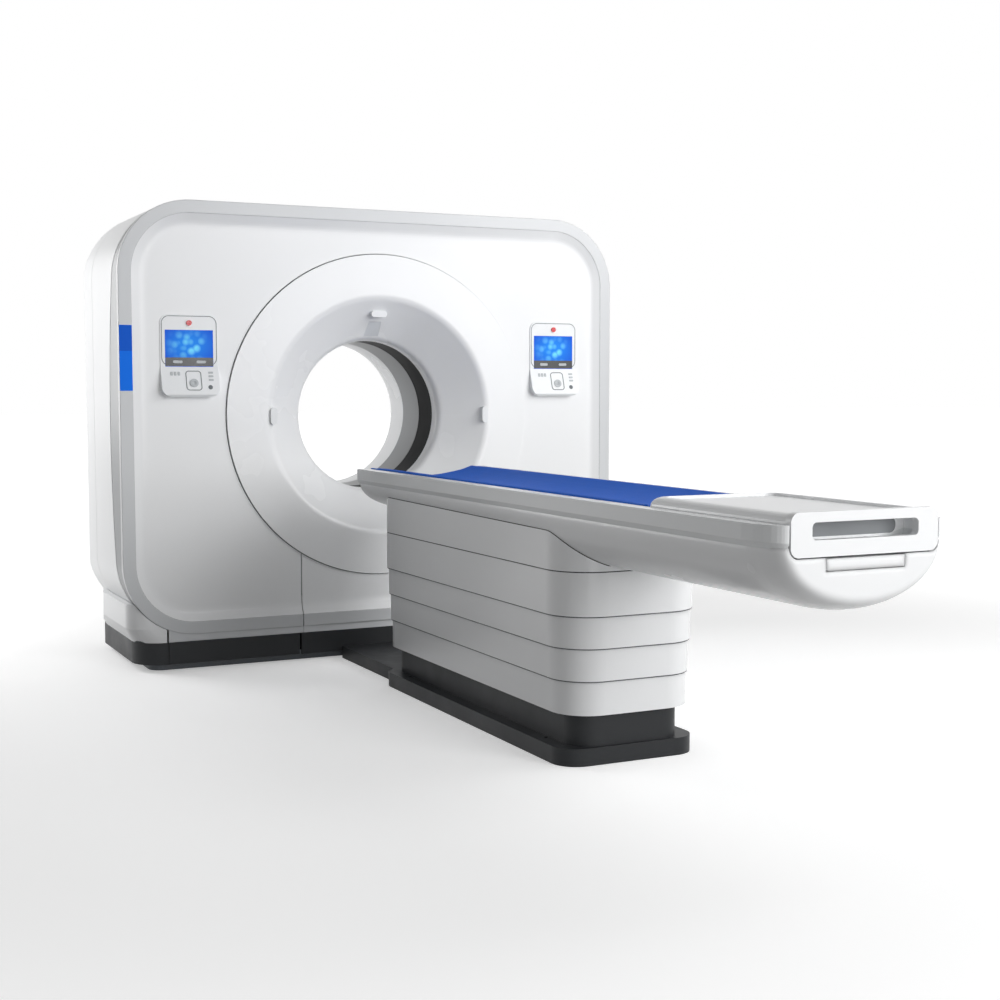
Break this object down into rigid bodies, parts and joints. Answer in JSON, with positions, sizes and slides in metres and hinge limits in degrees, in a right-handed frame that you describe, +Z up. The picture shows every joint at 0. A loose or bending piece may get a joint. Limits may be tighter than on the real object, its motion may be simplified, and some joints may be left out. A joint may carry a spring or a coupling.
{
  "type": "ct scanner",
  "caption": "Ring-shaped medical scanner gantry with a funnel bore, control panels and a sliding patient table on a telescoping lift.",
  "frame": {"origin": "on the floor under the isocentre, where the bore's axis crosses the scan plane", "axes": "+Z up, +Y along the bore from the front face to the rear, +X to the right seen from the front"},
  "size_m": [2.428, 4.289, 2.067],
  "materials": {
    "cover": "satin painted moulding",
    "side_band": "satin",
    "ring": "satin painted moulding",
    "liner": "satin",
    "window": "satin film",
    "pad": "satin",
    "light_panel": "frosted",
    "accent": "gloss film",
    "panel": "satin",
    "screen": "lit display",
    "stop": "gloss",
    "jog": "satin",
    "plinth": "matt",
    "apron": "satin",
    "foot": "satin painted moulding",
    "steel_frame": "satin paint",
    "bearing": "ground",
    "drum": "machined",
    "slip_ring": "ground",
    "tube": "cast",
    "collimator": "machined",
    "electronics": "anodised box",
    "skirt": "satin painted",
    "column": "satin paint",
    "hull": "satin painted moulding",
    "rim": "satin",
    "glide": "slick",
    "roller": "smooth",
    "paddle": "satin",
    "tray": "satin composite",
    "mattress": "coated cloth",
    "end_plate": "satin"
  },
  "bodies": {
    "gantry": {"base_frame": "steel_frame", "plinth_left": "plinth", "plinth_centre": "plinth", "plinth_right": "plinth", "apron": "apron", "foot_left": "foot", "foot_right": "foot", "front_cover": "cover", "service_panel": "cover", "ring_cover": "ring", "side_band": "side_band", "shell_cover": "cover", "rear_cover": "cover", "rear_ring": "ring", "liner_front": "liner", "scan_window": "window", "liner_rear": "liner", "pad_left": "pad", "pad_right": "pad", "pad_top": "pad", "light_panel": "light_panel", "accent_strip": "accent", "panel_left": "panel", "panel_right": "panel", "screen_left": "screen", "screen_right": "screen", "stator_frame": "steel_frame", "bearing_ring": "bearing", "duct": "plinth", "base_plate": "plinth", "base_plinth": "plinth", "skirt_1": "skirt", "column_outer": "column"},
    "rotor": {"rotor_drum": "drum", "slip_ring": "slip_ring", "xray_tube": "tube", "collimator": "collimator", "detector": "electronics", "generator": "electronics", "power_unit": "electronics"},
    "table_top": {"skirt_4": "skirt", "saddle": "skirt", "column_inner": "column", "hull": "hull", "rim": "rim", "glide_rails": "glide"},
    "skirt_3": {"skirt_3": "skirt"},
    "skirt_2": {"skirt_2": "skirt"},
    "column_mid": {"column_mid": "column"},
    "cradle": {"cradle_tray": "tray", "mattress": "mattress", "end_plate": "end_plate", "handle": "end_plate"},
    "roller": {"roller": "roller"},
    "paddle": {"paddle": "paddle"},
    "stop_left": {"stop_left": "stop"},
    "stop_right": {"stop_right": "stop"},
    "jog_left": {"jog_left": "jog"},
    "jog_right": {"jog_right": "jog"}
  },
  "joints": [
    {"name": "rotor_spin", "type": "hinge", "parent": "gantry", "child": "rotor", "pos_m": [0, 0.1, 1.124], "axis": [0, 1, 0], "continuous": true},
    {"name": "table_lift", "type": "slide", "parent": "gantry", "child": "table_top", "axis": [0, 0, 1], "range_m": [-0.32, 0.08]},
    {"name": "skirt_3_slide", "type": "slide", "parent": "gantry", "child": "skirt_3", "axis": [0, 0, 1], "range_m": [-0.2135, 0.0535]},
    {"name": "skirt_2_slide", "type": "slide", "parent": "gantry", "child": "skirt_2", "axis": [0, 0, 1], "range_m": [-0.1068, 0.0268]},
    {"name": "column_mid_slide", "type": "slide", "parent": "gantry", "child": "column_mid", "axis": [0, 0, 1], "range_m": [-0.16, 0.04]},
    {"name": "cradle_slide", "type": "slide", "parent": "table_top", "child": "cradle", "axis": [0, 1, 0], "range_m": [0, 1.75]},
    {"name": "roller_spin", "type": "hinge", "parent": "table_top", "child": "roller", "pos_m": [0, -0.86, 0.7924], "axis": [1, 0, 0], "continuous": true},
    {"name": "paddle_turn", "type": "hinge", "parent": "table_top", "child": "paddle", "pos_m": [0, -3.725, 0.806], "axis": [1, 0, 0], "range_deg": [0, 8], "stiffness_Nm_per_rad": 0.5, "springref_deg": -5.73},
    {"name": "stop_left_press", "type": "slide", "parent": "gantry", "child": "stop_left", "axis": [0, 1, 0], "range_m": [0, 0.004], "stiffness_N_per_m": 400, "springref_m": -0.002},
    {"name": "stop_right_press", "type": "slide", "parent": "gantry", "child": "stop_right", "axis": [0, 1, 0], "range_m": [0, 0.004], "stiffness_N_per_m": 400, "springref_m": -0.002},
    {"name": "jog_left_press", "type": "slide", "parent": "gantry", "child": "jog_left", "axis": [0, 0.9578, -0.2873], "range_m": [0, 0.003], "stiffness_N_per_m": 400, "springref_m": -0.002},
    {"name": "jog_right_press", "type": "slide", "parent": "gantry", "child": "jog_right", "axis": [0, 0.9578, -0.2873], "range_m": [0, 0.003], "stiffness_N_per_m": 400, "springref_m": -0.002}
  ],
  "couplings": [
    {"joint": "skirt_3_slide", "follows": "table_lift", "ratio": 0.66667},
    {"joint": "skirt_2_slide", "follows": "table_lift", "ratio": 0.33333},
    {"joint": "column_mid_slide", "follows": "table_lift", "ratio": 0.5},
    {"joint": "roller_spin", "follows": "cradle_slide", "rad_per_m": -41.667}
  ]
}
